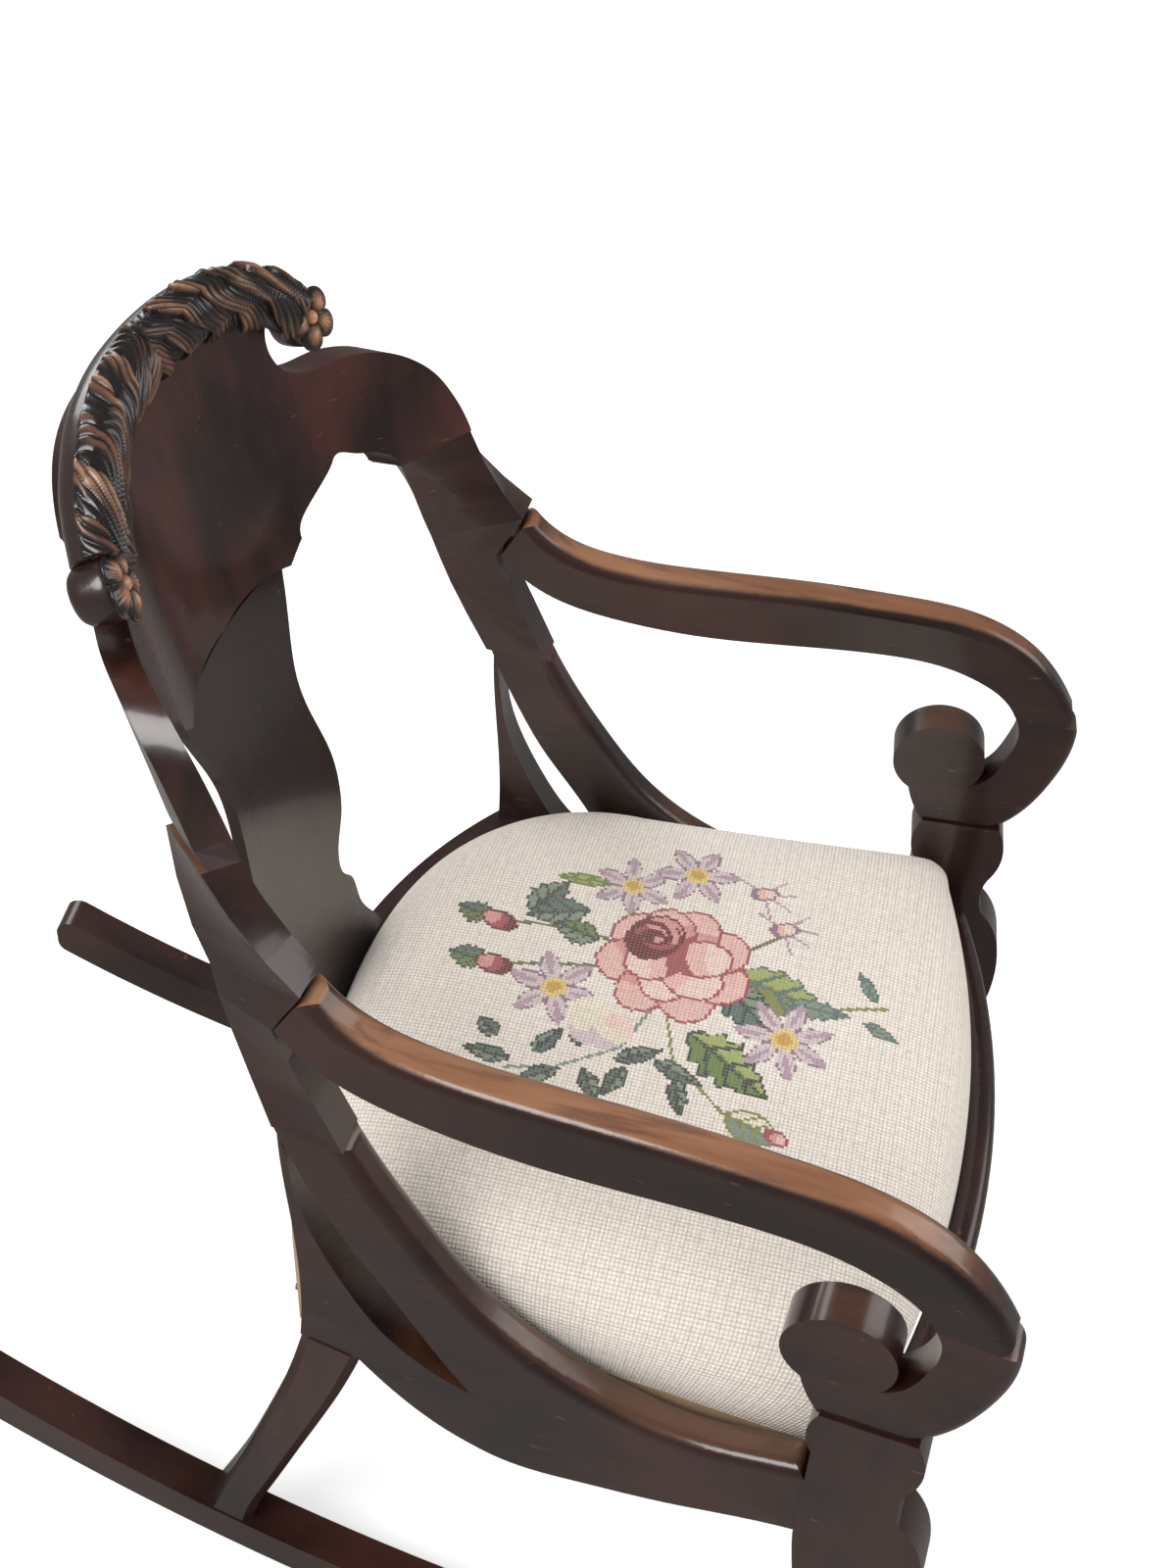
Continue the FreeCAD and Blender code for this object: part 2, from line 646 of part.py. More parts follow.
for x, y in ((front_rail_end[0] - 20, side_y - 27), (8.0, 240.0)):
    for z in (rail_mid_z - 16, rail_mid_z + 14):
        rail_dowels.append(rod((x, y - 22, z), (x, y + 20, z), dowel_radius * 0.8))
dowel_sets["seat_rail_dowels"] = rail_dowels

bored = {
    "crest_dowels": ["crest_rail", "left_stile", "right_stile"],
    "arm_dowels": ["left_arm", "right_arm", "left_stile", "right_stile", "left_arm_scroll",
                   "right_arm_scroll"],
    "post_dowels": ["left_front_post", "right_front_post", "left_arm_scroll", "right_arm_scroll",
                    "left_stile", "right_stile"],
    "runner_dowels": ["left_runner", "right_runner", "left_rear_leg", "right_rear_leg",
                      "left_front_post", "right_front_post"],
    "lower_rail_dowels": ["left_lower_rail", "right_lower_rail", "left_stile", "right_stile",
                          "left_rear_leg", "right_rear_leg"],
    "seat_rail_dowels": ["front_seat_rail", "rear_seat_rail", "left_front_post",
                         "right_front_post", "left_lower_rail", "right_lower_rail",
                         "left_rear_leg", "right_rear_leg"],
}
for name, holders in bored.items():
    group = Part.Compound(dowel_sets[name] + [mirrored(d) for d in dowel_sets[name]])
    for holder in holders:
        nodes[holder] = nodes[holder].cut(group)
    nodes[name] = group

screw_group = Part.Compound(screws)
for holder in ("front_seat_rail", "rear_seat_rail", "left_stile", "right_stile",
               "left_front_post", "right_front_post", "left_lower_rail", "right_lower_rail",
               "left_rear_leg", "right_rear_leg"):
    nodes[holder] = nodes[holder].cut(screw_group)
blocks = [b.cut(screw_group).cut(nodes["seat_rail_dowels"]) for b in blocks]
nodes["corner_blocks"] = Part.Compound(blocks)
nodes["block_screws"] = screw_group

# Drop-in seat

seat_frame_z = seat_foot_z + cover_cloth
frame_top_z = seat_frame_z + seat_rail_height
frame_inset = cover_cloth + 0.4
ring = seat_slab(frame_inset, seat_frame_z, frame_top_z).cut(
    seat_slab(frame_inset + seat_rail_width, seat_frame_z, frame_top_z))
front_cut_x = front_rail_x - rail_board - seat_gap - frame_inset - seat_rail_width - 18
rear_cut_x = 40.0
front_zone = Part.makeBox(box_size, box_size, box_size, V(front_cut_x, -box_size / 2, 0))
rear_zone = Part.makeBox(box_size, box_size, box_size, V(rear_cut_x - box_size, -box_size / 2, 0))
sides = ring.cut(front_zone).cut(rear_zone).Solids
nodes["seat_frame_front"] = ring.common(front_zone)
nodes["seat_frame_rear"] = ring.common(rear_zone)
nodes["seat_frame_left"] = max(sides, key=lambda s: s.CenterOfMass.y)
nodes["seat_frame_right"] = min(sides, key=lambda s: s.CenterOfMass.y)


def webs(count, along_x, low_z, inset):
    """Straps of webbing laid side by side over the seat frame."""
    opening = seat_slab(inset, low_z, low_z + web_thickness)
    box = opening.BoundBox
    straps = []
    for i in range(count):
        share = (i + 1) / (count + 1)
        if along_x:
            middle = box.YMin + share * box.YLength
            strap = Part.makeBox(box_size, web_width, web_thickness,
                                 V(-box_size / 2, middle - web_width / 2, low_z))
        else:
            middle = box.XMin + share * box.XLength
            strap = Part.makeBox(web_width, box_size, web_thickness,
                                 V(middle - web_width / 2, -box_size / 2, low_z))
        straps.append(strap.common(opening))
    return straps


web_inset = frame_inset + 10.0
web_z = frame_top_z
nodes["seat_webbing"] = Part.Compound(webs(6, True, web_z, web_inset)
                                      + webs(6, False, web_z + web_thickness, web_inset))
hessian_z = web_z + 2 * web_thickness
nodes["seat_hessian"] = seat_slab(web_inset - 4, hessian_z, hessian_z + hessian_thickness)
pad_z = hessian_z + hessian_thickness
stuffing = crowned(0.0, pad_z)
nodes["seat_stuffing"] = stuffing

skirt = seat_slab(0.0, seat_foot_z, pad_z)
skirt = skirt.cut(seat_slab(cover_cloth, seat_frame_z, pad_z))
skirt = skirt.cut(seat_slab(cover_cloth + cover_hem, seat_foot_z, seat_frame_z))
crown = crowned(cover_cloth, pad_z).cut(stuffing)
nodes["needlework_cover"] = crown.fuse(skirt).removeSplitter()

dust_z = seat_foot_z - dust_cloth
nodes["dust_cover"] = seat_slab(8.0, dust_z, seat_foot_z)


def make_tacks():
    """Tacks that hold the dust cover and the cover's hem up into the seat frame."""
    wire = seat_outline(tack_inset, dust_z)
    spots = wire.discretize(Distance=38.0)
    tacks = []
    for spot in spots[:-1]:
        head = Part.makeCylinder(tack_head_radius, tack_head_height, V(spot.x, spot.y, dust_z),
                                 V(0, 0, -1))
        shank = Part.makeCylinder(tack_shank_radius, tack_shank_length, V(spot.x, spot.y, dust_z))
        tacks.append(head.fuse(shank).removeSplitter())
    return Part.Compound(tacks)


tacks = make_tacks()
for name in ("dust_cover", "needlework_cover", "seat_frame_front", "seat_frame_rear",
             "seat_frame_left", "seat_frame_right"):
    nodes[name] = nodes[name].cut(tacks)
nodes["seat_tacks"] = tacks

os.makedirs("parts", exist_ok=True)
for name, shape in nodes.items():
    shape.translate(V(-outline_middle_x, 0, 0))
    shape.exportStep(os.path.join("parts", name + ".step"))
    print(name, len(shape.Solids), "solids, valid", shape.isValid())
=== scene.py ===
# %% [markdown]
# # A scroll-arm rocking chair
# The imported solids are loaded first: they fix where every board lies. The joinery keeps its
# exact solids and gets wood. What a knife or a needle shaped gets surfaces of its own here:
# the carved top rail, its rosettes and the needlework seat.

from math import cos, pi, radians, sin

import bpy
import numpy as np
from mathutils import Matrix, Vector


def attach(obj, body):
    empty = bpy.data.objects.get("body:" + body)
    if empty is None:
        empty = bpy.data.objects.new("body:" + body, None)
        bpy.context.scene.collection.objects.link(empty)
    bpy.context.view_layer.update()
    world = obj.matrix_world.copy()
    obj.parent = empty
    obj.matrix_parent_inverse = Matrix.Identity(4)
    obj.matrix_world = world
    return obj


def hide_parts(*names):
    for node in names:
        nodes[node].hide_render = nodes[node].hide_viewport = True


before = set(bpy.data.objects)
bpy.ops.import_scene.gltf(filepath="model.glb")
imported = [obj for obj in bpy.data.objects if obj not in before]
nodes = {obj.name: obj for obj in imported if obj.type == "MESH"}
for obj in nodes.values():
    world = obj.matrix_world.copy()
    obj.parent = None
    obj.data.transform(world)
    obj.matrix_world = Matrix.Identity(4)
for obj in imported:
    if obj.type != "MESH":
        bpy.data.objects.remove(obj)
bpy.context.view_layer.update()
MM = 0.001                     # sizes below are in millimetres; Blender works in metres


# %% [markdown]
# ## Helpers for surfaces
# Every new piece is one grid of points worked out by numpy. The grid's rows and columns
# become quads, a closed direction joins its last column to its first, and the corner
# coordinates of the grid go into a UV map.

# %% Grid to mesh
def grid_object(name, points, closed=False, uv=None, keep=None, colours=None, caps=False):
    """A mesh from points[row, column, xyz]. Faces join neighbours; closed joins the last
    column to the first; caps add one point in the middle of the first and the last row."""
    rows, columns = points.shape[:2]
    index = np.arange(rows * columns).reshape(rows, columns)
    across = np.roll(index, -1, 1) if closed else index[:, 1:]
    along = index if closed else index[:, :-1]
    quads = np.stack([along[:-1], across[:-1], across[1:], along[1:]], -1).reshape(-1, 4)
    if keep is not None:
        quads = quads[keep.reshape(-1)]
    faces = quads.tolist()
    vertices = points.reshape(-1, 3)
    if caps:
        ends = np.array([points[0].mean(0), points[-1].mean(0)])
        first, last = len(vertices), len(vertices) + 1
        vertices = np.vstack([vertices, ends])
        ring = np.stack([index[0], np.roll(index[0], -1)], -1)
        faces += [[first, b, a] for a, b in ring.tolist()]
        ring = np.stack([index[-1], np.roll(index[-1], -1)], -1)
        faces += [[last, a, b] for a, b in ring.tolist()]
    mesh = bpy.data.meshes.new(name)
    mesh.from_pydata(vertices.tolist(), [], faces)
    if uv is not None:
        layer = mesh.uv_layers.new(name="UVMap")
        flat = uv.reshape(-1, 2)
        loops = np.empty(len(mesh.loops), np.int32)
        mesh.loops.foreach_get("vertex_index", loops)
        loops = np.minimum(loops, len(flat) - 1)
        layer.data.foreach_set("uv", flat[loops].astype(np.float32).ravel())
    if colours is not None:
        per_corner = colours.shape[0] == len(quads)
        layer = mesh.color_attributes.new("paint", "FLOAT_COLOR", "CORNER" if per_corner else "POINT")
        values = np.repeat(colours, 4, 0) if per_corner else colours
        if caps:
            values = np.vstack([values, values[:1], values[-1:]])
        values = np.hstack([values, np.ones((len(values), 1))])
        layer.data.foreach_set("color", values.astype(np.float32).ravel())
    mesh.shade_smooth()
    piece = bpy.data.objects.new(name, mesh)
    bpy.context.scene.collection.objects.link(piece)
    print(name, len(vertices), "points", len(faces), "faces")
    return piece


def unit(vectors):
    """The same directions with length one."""
    return vectors / np.linalg.norm(vectors, axis=-1, keepdims=True)


def smooth_step(low, high, values):
    """0 below low, 1 above high, and an even curve between."""
    t = np.clip((values - low) / (high - low), 0, 1)
    return t * t * (3 - 2 * t)


# %% [markdown]
# ## Helpers for finishes
# Shader maths reads best as arithmetic, so one small class wraps a socket and turns
# Python's operators into Math nodes.

# %% Sockets as numbers
class Value:
    """A node's output that can be added, multiplied and mixed like a number."""

    def __init__(self, finish, socket):
        self.finish, self.socket = finish, socket

    def maths(self, operation, *others):
        """A Math node with this value in its first socket."""
        return self.finish.node("ShaderNodeMath", {"operation": operation}, [self, *others])

    def __add__(self, other):
        return self.maths("ADD", other)

    def __mul__(self, other):
        return self.maths("MULTIPLY", other)

    def __sub__(self, other):
        return self.maths("SUBTRACT", other)

    def __rsub__(self, other):
        return self.finish.node("ShaderNodeMath", {"operation": "SUBTRACT"}, [other, self])

    __radd__, __rmul__ = __add__, __mul__

    def between(self, low, high):
        """0 below low, 1 above high, smooth between."""
        return self.finish.node("ShaderNodeMapRange", {"interpolation_type": "SMOOTHSTEP"},
                                [self, low, high, 0.0, 1.0])


class Finish:
    """A material and the nodes that are added to it."""

    def __init__(self, name):
        self.material = bpy.data.materials.new(name)
        self.material.use_nodes = True
        self.tree = self.material.node_tree
        self.shader = self.tree.nodes["Principled BSDF"]

    def node(self, kind, settings=(), inputs=(), output=0):
        """Adds a node: its settings first, then its sockets by place or by name."""
        made = self.tree.nodes.new(kind)
        for key, value in dict(settings).items():
            setattr(made, key, value)
        pairs = inputs.items() if isinstance(inputs, dict) else enumerate(inputs)
        for key, value in pairs:
            if isinstance(value, Value):
                self.tree.links.new(value.socket, made.inputs[key])
            elif value is not None:
                made.inputs[key].default_value = value
        return Value(self, made.outputs[output])

    def mix(self, factor, a, b):
        """Colour a where the factor is 0, colour b where it is 1."""
        full = [(*c, 1.0) if isinstance(c, tuple) else c for c in (a, b)]
        return self.node("ShaderNodeMix", {"data_type": "RGBA"},
                         {0: factor, 6: full[0], 7: full[1]}, 2)

    def noise(self, place, scale, detail=4.0, roughness=0.5):
        """Soft noise from 0 to 1."""
        return self.node("ShaderNodeTexNoise", {},
                         {"Vector": place, "Scale": scale, "Detail": detail, "Roughness": roughness})

    def place(self, scale=(1, 1, 1), turn=(0, 0, 0)):
        """Object coordinates, stretched and turned to run with the grain."""
        seat = self.node("ShaderNodeTexCoord", output=3)
        return self.node("ShaderNodeMapping", {}, {"Vector": seat, "Rotation": turn, "Scale": scale})

    def bump(self, height, strength, distance):
        """A normal that tilts as if the surface had this height."""
        return self.node("ShaderNodeBump", {}, {"Strength": strength, "Distance": distance,
                                                "Height": height})

    def set(self, **sockets):
        """Values or links for the Principled shader's sockets, by name with _ for a space."""
        for key, value in sockets.items():
            socket = self.shader.inputs[key.replace("_", " ")]
            if isinstance(value, Value):
                self.tree.links.new(value.socket, socket)
            else:
                socket.default_value = (*value, 1.0) if isinstance(value, tuple) else value
        return self.material


# %% [markdown]
# ## Old mahogany
# The chair was darkened with shellac a century ago. Broad cloudy streaks run with the grain,
# fine pores cross them, and hands have rubbed the tops of the arms back to warm brown. The
# grain runs along each board, so each direction of board gets its own turn of one recipe.

# %% Mahogany recipe
DEEP = (0.0105, 0.0042, 0.0032)
RED = (0.047, 0.0145, 0.0095)
WARM = (0.215, 0.084, 0.038)
STRAW = (0.34, 0.165, 0.082)
STREAK_SCALE, PORE_SCALE, PATCH_SCALE, SCRATCH_SCALE = 14.0, 90.0, 9.0, 60.0


def mahogany(name, grain, turn=(0, 0, 0), worn=0.0, cloud=6.0, red=RED):
    """Shellacked wood: a stretched noise for streaks, a finer one for pores, a slow one for
    cloudiness, and worn brown where the surface faces up."""
    wood = Finish(name)
    along = wood.place(grain, turn)
    streak = wood.noise(along, STREAK_SCALE, 6.0, 0.62)
    pores = wood.noise(along, PORE_SCALE, 3.0, 0.6)
    clouds = wood.noise(wood.place(), cloud, 3.0, 0.55)
    depth = (streak * 0.7 + clouds * 0.6).between(0.48, 0.86)
    colour = wood.mix(depth, DEEP, red)
    scratch_place = wood.place((1, 1, 6), (0.5, 0.9, 0.3))
    scratch = wood.noise(scratch_place, SCRATCH_SCALE, 2.0, 0.4).between(0.73, 0.76)
    colour = wood.mix(scratch * 0.35, colour, WARM)
    if worn:
        normal = wood.node("ShaderNodeNewGeometry", output=1)
        up = wood.node("ShaderNodeSeparateXYZ", {}, [normal], 2)
        patch = wood.noise(wood.place(), PATCH_SCALE, 4.0, 0.6)
        rub = (up + (patch - 0.5) * 0.45).between(0.62, 0.95) * worn
        figure = wood.mix(streak.between(0.4, 0.62), WARM, STRAW)
        figure = wood.mix(pores.between(0.52, 0.7) * 0.45, figure, RED)
        colour = wood.mix(rub, colour, figure)
    gloss = 0.30 + (clouds - 0.5) * 0.28 + (pores - 0.5) * 0.10
    relief = wood.bump(pores * 0.6 + streak * 0.4, 0.10, 0.0006)
    return wood.set(Base_Color=colour, Roughness=gloss, Normal=relief, Coat_Weight=0.55,
                    Coat_Roughness=0.12, IOR=1.5)


GRAIN_X = (0.12, 1.0, 1.0)
GRAIN_Y = (1.0, 0.12, 1.0)
GRAIN_Z = (1.0, 1.0, 0.12)
wood_arm = mahogany("mahogany_arm", GRAIN_X, worn=0.85)
wood_scroll = mahogany("mahogany_scroll", GRAIN_X, (0, 0.7, 0), worn=0.2)
wood_stile = mahogany("mahogany_stile", GRAIN_X, (0, 0.95, 0), worn=0.25)
wood_leg = mahogany("mahogany_leg", GRAIN_Z, (0, 0.2, 0))
wood_runner = mahogany("mahogany_runner", GRAIN_X)
wood_rail = mahogany("mahogany_rail", GRAIN_Y)
wood_veneer = mahogany("mahogany_veneer", GRAIN_Z, (0.12, 0.3, 0), cloud=9.0, red=(0.072, 0.019, 0.0125))
wood_splat = mahogany("mahogany_splat", GRAIN_Z, (0, 0.25, 0), cloud=4.0, red=(0.034, 0.013, 0.009))


# %% Plain materials inside the seat and at the joints
def plain(name, dark, light, scale, rough, metal=0.0):
    """Two near colours mixed by noise, for what lies out of sight."""
    stuff = Finish(name)
    colour = stuff.mix(stuff.noise(stuff.place(), scale), dark, light)
    return stuff.set(Base_Color=colour, Roughness=rough, Metallic=metal)


beech = plain("bare_beech", (0.36, 0.23, 0.13), (0.52, 0.36, 0.22), 30.0, 0.6)
jute = plain("jute_webbing", (0.30, 0.22, 0.12), (0.50, 0.40, 0.25), 400.0, 0.9)
cambric = plain("black_cambric", (0.012, 0.012, 0.012), (0.03, 0.03, 0.03), 600.0, 0.95)
steel = plain("dull_steel", (0.20, 0.19, 0.18), (0.34, 0.33, 0.31), 200.0, 0.45, 1.0)
hair = plain("horsehair", (0.06, 0.04, 0.03), (0.16, 0.12, 0.08), 300.0, 0.95)

# %% Every solid takes its finish
FINISHES = {
    "arm": wood_arm, "stile": wood_stile, "lower_rail": wood_stile, "arm_scroll": wood_scroll,
    "runner": wood_runner, "rear_leg": wood_leg, "front_post": wood_leg,
    "crest_rail": wood_veneer, "crest_roll": wood_veneer, "back_splat": wood_splat,
    "front_seat_rail": wood_rail, "rear_seat_rail": wood_rail, "rosette": wood_veneer,
    "corner_blocks": beech, "seat_frame": beech, "dowels": beech, "seat_webbing": jute,
    "seat_hessian": jute, "dust_cover": cambric, "block_screws": steel, "seat_tacks": steel,
    "seat_stuffing": hair, "needlework_cover": hair,
}


def finish_for(node):
    """The longest name in the list that the node's own name holds."""
    return FINISHES[max((key for key in FINISHES if key in node), key=len)]


for node_name, solid in nodes.items():
    solid.data.materials.clear()
    solid.data.materials.append(finish_for(node_name))
print("finished solids", len(nodes))

# %% [markdown]
# ## The carved top rail
# Acanthus leaves lap over each other along a round rail, from the middle out to both ends.
# A displacement texture could fake them, but the leaves stand more than six millimetres proud
# and show against the sky, so the tube's radius itself is a function of place.

# %% Path of the rail
SHIFT_X = -12.0                # the solids' outline is centred on the origin by this much
ROLL_HALF = np.array([(-195, 0, 975), (-194, 21, 975.5), (-191, 43, 976), (-187, 64, 975),
                      (-182, 86, 972), (-175, 107, 967), (-168, 126, 959), (-159, 142, 949),
                      (-151, 154, 938)], float)
ROLL_ROWS, ROLL_COLUMNS = 840, 116
ROLL_RADIUS = 18.5


def path_length(points):
    """How far along the path each of its points lies."""
    return np.r_[0, np.cumsum(np.linalg.norm(np.diff(points, axis=0), axis=1))]


def smooth_path(points, count):
    """Points spaced evenly along a smooth curve: each coordinate is interpolated against
    length, then averaged with its neighbours to take out the corners."""
    length = path_length(points)
    spots = np.linspace(0, length[-1], count)
    path = np.stack([np.interp(spots, length, points[:, k]) for k in range(3)], 1)
    window = count // 24
    padded = np.vstack([2 * path[0] - path[window:0:-1], path, 2 * path[-1] - path[-2:-window - 2:-1]])
    kernel = np.hanning(2 * window + 1)
    kernel /= kernel.sum()
    return np.stack([np.convolve(padded[:, k], kernel, "valid") for k in range(3)], 1), spots


left_half = ROLL_HALF[:0:-1] * [1, -1, 1]
roll_path, roll_length = smooth_path(np.vstack([left_half, ROLL_HALF]) + [SHIFT_X, 0, 0], ROLL_ROWS)
roll_tangent = unit(np.gradient(roll_path, axis=0))
forward = np.array([1.0, 0, 0]) - roll_tangent * roll_tangent[:, :1]
roll_front = unit(forward)
roll_up = np.cross(roll_front, roll_tangent)
roll_up *= np.sign(roll_up[:, 2:3])


# %% Acanthus relief
LEAF_PITCH = 29.0              # millimetres from leaf to leaf along the rail
LEAN_MIDDLE, LEAN_END = 0.75, 1.65   # how far a leaf runs outwards for each step forward
STRANDS = 5                    # ridges in one leaf
SWING, SWING_LENGTH = 5.0, 10.0      # the slow curve of a leaf, in millimetres
LOBE, LOBE_LENGTH = 4.5, 8.5         # the lobes on the edge that laps over the next leaf
LAP_RISE, LAP_SINK = 0.06, 0.58      # shares of a leaf's width and of its height
SWAY, SWAY_LENGTH = 0.75, 7.0        # strands swing by this share of their spacing
FAN_ROOT, FAN_SPREAD = 0.65, 0.6     # strands lie close at the leaf's root and open out
BODY, STRAND, CURL = 0.44, 0.34, 0.26    # shares of the height
TIP_BACK, TIP_LOBE = 10.0, 9.0       # the lower edge is drawn back, with lobes that reach out
BACK_ANGLE, FRONT_ANGLE = radians(106), radians(-94)


def acanthus(along, angle):
    """Height of the carving, 0 to 1, where it covers the rail, and its grooves. A leaf is a
    band that slants outwards as it comes forward, more so near the ends. Across a band the
    height jumps where one leaf laps over the last and then sinks; grooves follow the band,
    swinging from side to side, and its tip is lobed."""
    down = (BACK_ANGLE - angle) * ROLL_RADIUS
    lean = LEAN_MIDDLE + (LEAN_END - LEAN_MIDDLE) * smooth_step(40, 250, along)
    side = along - down * lean + SWING * np.sin(down / SWING_LENGTH)
    side += LOBE * np.abs(np.sin(down / LOBE_LENGTH + along / 60.0))
    phase = side / LEAF_PITCH
    leaf = np.floor(phase)
    place = phase - leaf
    lap = smooth_step(0.0, LAP_RISE, place) * (1 - LAP_SINK * smooth_step(0.10, 1.0, place))
    reach = (BACK_ANGLE - FRONT_ANGLE) * ROLL_RADIUS
    spread = FAN_ROOT + FAN_SPREAD * down / reach
    fan = (place - 0.3) * STRANDS * spread + SWAY * np.sin(down / SWAY_LENGTH + leaf * 1.9)
    groove = np.abs(np.sin(fan * pi)) ** 0.6
    curl = 0.5 + 0.5 * np.cos(down / SWAY_LENGTH + place * 7.0 + leaf * 2.3)
    height = lap * (BODY + STRAND * groove + CURL * curl)
    tip = reach - TIP_BACK + TIP_LOBE * np.abs(np.sin(pi * phase * 1.5)) ** 0.7
    cover = smooth_step(0.0, 2.0, down) * (1 - smooth_step(tip - 2.5, tip, down))
    return height, cover, groove


angle = np.linspace(0, 2 * pi, ROLL_COLUMNS, endpoint=False)[None, :]
signed_angle = (angle + pi) % (2 * pi) - pi          # 0 faces forward, a quarter turn is up
middle = roll_length[-1] / 2
outward = np.abs(roll_length - middle)[:, None]
height, cover, groove = acanthus(outward, signed_angle)
RELIEF, GROUND = 6.5, 3.0      # the carving's height, and how far its ground is cut in
HANG, BACK_RISE = 4.0, 2.0     # the leaves bulge below; the plain back stands above the ground
hang = HANG * np.exp(-((signed_angle + radians(60)) / radians(36)) ** 2)
radius = ROLL_RADIUS - GROUND + height * cover * RELIEF + hang * cover + BACK_RISE * (1 - cover)
ring = (np.cos(signed_angle)[..., None] * roll_front[:, None]
        + np.sin(signed_angle)[..., None] * roll_up[:, None])
roll_points = (roll_path[:, None] + ring * radius[..., None]) * MM

# %% Rubbed high spots and blackened hollows
BLACK = np.array([0.012, 0.008, 0.007])
BRONZE = np.array([0.20, 0.085, 0.042])
COPPER = np.array([0.50, 0.26, 0.15])


def rubbed(height, high=0.62, low=0.30):
    """Black in the hollows, bronze on the slopes, copper on what sticks out."""
    slope = smooth_step(low, high, height)[..., None]
    crest = smooth_step(high, high + 0.30, height)[..., None]
    return (BLACK * (1 - slope) + BRONZE * slope) * (1 - crest) + COPPER * crest


patchy = 0.5 + 0.5 * np.sin(outward * 0.13 + 2.6 * signed_angle) * np.sin(outward * 0.05 + 1.0)
wear = height * (0.55 + 0.42 * patchy) - 0.30 * (1 - groove)
PLAIN = np.array([0.026, 0.013, 0.010])
roll_colour = rubbed(wear, 0.62, 0.36) * 0.62 * cover[..., None] + PLAIN * (1 - cover[..., None])


def carved_finish(name, wood_shine=0.32):
    """Shellac over carving: the painted attribute gives the colour, fine noise the tool marks."""
    wood = Finish(name)
    paint = wood.node("ShaderNodeVertexColor", {"layer_name": "paint"})
    grain = wood.noise(wood.place((1, 0.4, 1)), 260.0, 4.0)
    colour = wood.mix(grain.between(0.5, 0.75) * 0.5, paint, DEEP)
    shine = wood_shine + (grain - 0.5) * 0.3
    return wood.set(Base_Color=colour, Roughness=shine, Normal=wood.bump(grain, 0.25, 0.0005),
                    Coat_Weight=0.6, Coat_Roughness=0.16)


carved = carved_finish("carved_mahogany")
roll = grid_object("carved_top_rail", roll_points[:, ::-1], closed=True, caps=True,
                   colours=roll_colour[:, ::-1].reshape(-1, 3))
roll.data.materials.append(carved)
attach(roll, "chair_frame")
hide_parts("crest_roll")

# %% [markdown]
# ## Bosses and rosettes
# The rail curls forward into a round boss at each end, plain at the side and carved in
# front with a five-petalled rosette round a button. Both are turned shapes: a profile of
# radius against depth, whose radius also swings with the angle where petals stand.

# %% Turned shapes about the boss's axis
ROSETTE_BACK = np.array([-139.0 + SHIFT_X, 160.0, 929.0])
ROSETTE_AXIS = unit(np.array([0.86, -0.29, 0.41]))
PETALS = 5
PETAL_REACH, PETAL_ARCH = 23.0, 4.6
PETAL_COLUMNS, BUTTON_COLUMNS = 200, 40


def turned(name, side, profile, lobes=None, columns=120, colours=None):
    """A surface round the boss's axis. profile holds (depth, radius) pairs; lobes, when
    given, changes both by angle, and colours gives the paint."""
    mirror = np.array([1, side, 1])
    base, axis = ROSETTE_BACK * mirror, ROSETTE_AXIS * mirror
    across = unit(np.cross(axis, [0, 0, 1.0]))
    upward = np.cross(axis, across)
    turn = np.linspace(0, 2 * pi, columns, endpoint=False)[None, :]
    depth, reach = (np.array(profile, float)[:, k, None] + 0 * turn for k in (0, 1))
    if lobes:
        depth, reach = lobes(depth, reach, turn)
    ring = np.cos(turn)[..., None] * across + np.sin(turn)[..., None] * upward
    points = base + axis * depth[..., None] + ring * reach[..., None]
    shades = colours(depth, reach, turn).reshape(-1, 3) if colours else None
    return grid_object(name, points * MM, closed=True, caps=True, colours=shades)


def petal_wave(turn):
    """1 down the middle of each petal and 0 between petals."""
    return np.abs(np.cos(turn * PETALS / 2)) ** 0.6


def petals(depth, reach, turn):
    """Radius dips between petals; each petal is arched, highest half of the way out, and
    six fine veins run along it."""
    wave = petal_wave(turn)
    out = np.clip(reach / PETAL_REACH, 0, 1)
    lifted = depth + PETAL_ARCH * np.sin(out * pi) ** 1.3 * (0.35 + 0.65 * wave)
    vein = 1.5 * np.cos(turn * PETALS * 6) * out * (1 - out)
    return lifted + vein, reach * (1 - 0.30 * (1 - wave) * out)


def petal_colours(depth, reach, turn):
    """Rubbed where the petals stand highest, black between them."""
    return rubbed(0.17 * (depth - 2.6) * (0.35 + 0.65 * petal_wave(turn)), 0.66, 0.25)


def button_colours(depth, reach, turn):
    """Lighter towards the button's crown."""
    return rubbed(0.4 + 0.06 * depth, 0.6, 0.2)


def boss_colours(depth, reach, turn):
    """The plain brown of the rail's back."""
    return np.ones(depth.shape)[..., None] * PLAIN


